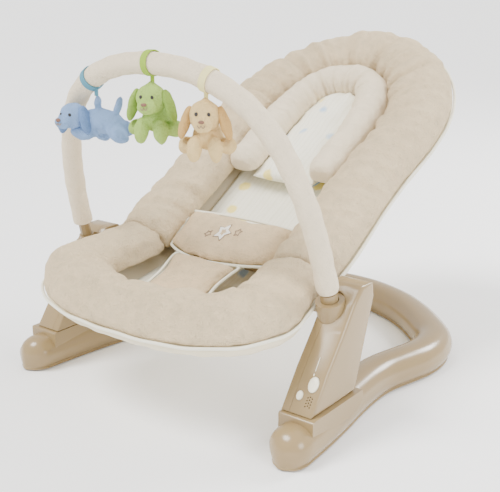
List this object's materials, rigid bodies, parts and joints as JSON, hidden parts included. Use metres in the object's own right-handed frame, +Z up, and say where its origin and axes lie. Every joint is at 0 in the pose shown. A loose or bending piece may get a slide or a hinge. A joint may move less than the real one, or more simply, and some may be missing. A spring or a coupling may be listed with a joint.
{
  "type": "infant bouncer seat",
  "caption": "Reclined padded infant bouncer with a floor loop base, sprung frame, lap restraint and lift-off toy bar.",
  "frame": {"origin": "on the floor, under the middle of the whole object", "axes": "+Z up, -Y toward the foot end, +X toward the leg with the control unit"},
  "size_m": [0.508, 0.6754, 0.464],
  "materials": {
    "plastic": "moulded beige plastic, satin sheen",
    "plastic_dark": "plain moulded plastic",
    "button": "cream key cap",
    "steel": "bright steel",
    "rubber": "matt",
    "plush": "short pile plush",
    "liner": "printed jersey",
    "piping": "woven cord edge",
    "webbing": "woven tape",
    "board": "circuit board",
    "cell": "battery jacket",
    "black": "speaker body",
    "blue": "plush, blue",
    "green": "plush, green",
    "tan": "plush, tan"
  },
  "bodies": {
    "base": {"base_rail": "plastic", "base_plate": "plastic_dark", "foot_toe_r": "rubber", "foot_toe_l": "rubber", "foot_rear_r": "rubber", "foot_rear_l": "rubber", "saddle_l": "plastic", "saddle_r": "plastic", "leg_outer_l": "plastic", "leg_outer_r": "plastic", "leg_inner_l": "plastic", "leg_inner_r": "plastic", "leg_screw_l": "steel", "leg_screw_r": "steel", "bar_socket_l": "plastic", "bar_socket_r": "plastic", "pivot_pin_l": "steel", "pivot_pin_r": "steel", "battery_tray": "plastic_dark", "battery_1": "cell", "battery_2": "cell", "contact_plate": "steel", "circuit_board": "board", "speaker": "black", "vibration_motor": "steel"},
    "battery_cover": {"battery_door": "plastic_dark", "door_screw": "steel"},
    "power_key": {"power_button": "button"},
    "sound_key": {"sound_button": "button"},
    "spin_weight": {"eccentric_weight": "steel"},
    "seat_body": {"seat_tube_upper": "steel", "seat_tube_lower": "steel", "seat_hub_l": "plastic_dark", "seat_hub_r": "plastic_dark", "hem_upper": "plush", "hem_lower": "plush", "sling_pad": "liner", "liner": "liner", "back_roll": "plush", "front_roll": "plush", "piping_upper": "piping", "piping_lower": "piping", "pillow_roll": "plush", "pillow_panel": "liner", "waist_strap_l": "webbing", "waist_strap_r": "webbing"},
    "restraint": {"waist_pad": "plush", "crotch_pad": "plush", "buckle_body_l": "plastic_dark", "buckle_body_r": "plastic_dark"},
    "toy_bar": {"bar_core": "plastic_dark", "bar_sleeve": "plush", "bar_plug_l": "plastic", "bar_plug_r": "plastic"},
    "toy_blue": {"ribbon_blue": "blue", "puppy_blue": "blue"},
    "toy_green": {"ribbon_green": "green", "puppy_green": "green"},
    "toy_tan": {"ribbon_tan": "tan", "puppy_tan": "tan"}
  },
  "joints": [
    {"name": "seat_bounce", "type": "hinge", "parent": "base", "child": "seat_body", "pos_m": [0, -0.13043, 0.1505], "axis": [1, 0, 0], "range_deg": [-6, 4], "stiffness_Nm_per_rad": 90, "springref_deg": 2.86},
    {"name": "bar_lift", "type": "slide", "parent": "base", "child": "toy_bar", "axis": [0, -0.2622, 0.965], "range_m": [0, 0.06]},
    {"name": "restraint_fold", "type": "hinge", "parent": "seat_body", "child": "restraint", "pos_m": [0, -0.25543, 0.1335], "axis": [1, 0, 0], "range_deg": [0, 40]},
    {"name": "power_press", "type": "slide", "parent": "base", "child": "power_key", "axis": [0, 0.8155, -0.5787], "range_m": [0, 0.0013], "stiffness_N_per_m": 500},
    {"name": "sound_press", "type": "slide", "parent": "base", "child": "sound_key", "axis": [0, 0.8155, -0.5787], "range_m": [0, 0.0013], "stiffness_N_per_m": 500},
    {"name": "weight_spin", "type": "hinge", "parent": "base", "child": "spin_weight", "pos_m": [0.214, -0.14643, 0.12], "axis": [1, 0, 0], "continuous": true},
    {"name": "battery_cover_off", "type": "slide", "parent": "base", "child": "battery_cover", "axis": [-1, 0, 0], "range_m": [0, 0.02]},
    {"name": "toy_swing_blue", "type": "hinge", "parent": "toy_bar", "child": "toy_blue", "pos_m": [-0.112, -0.23619, 0.4214], "axis": [0.8477, -0.1391, 0.5119], "range_deg": [-35, 35]},
    {"name": "toy_swing_green", "type": "hinge", "parent": "toy_bar", "child": "toy_green", "pos_m": [0, -0.24342, 0.44799], "axis": [0.9991, -0.0113, 0.0416], "range_deg": [-35, 35]},
    {"name": "toy_swing_tan", "type": "hinge", "parent": "toy_bar", "child": "toy_tan", "pos_m": [0.086, -0.23944, 0.43336], "axis": [0.9504, 0.0816, -0.3003], "range_deg": [-35, 35]}
  ]
}
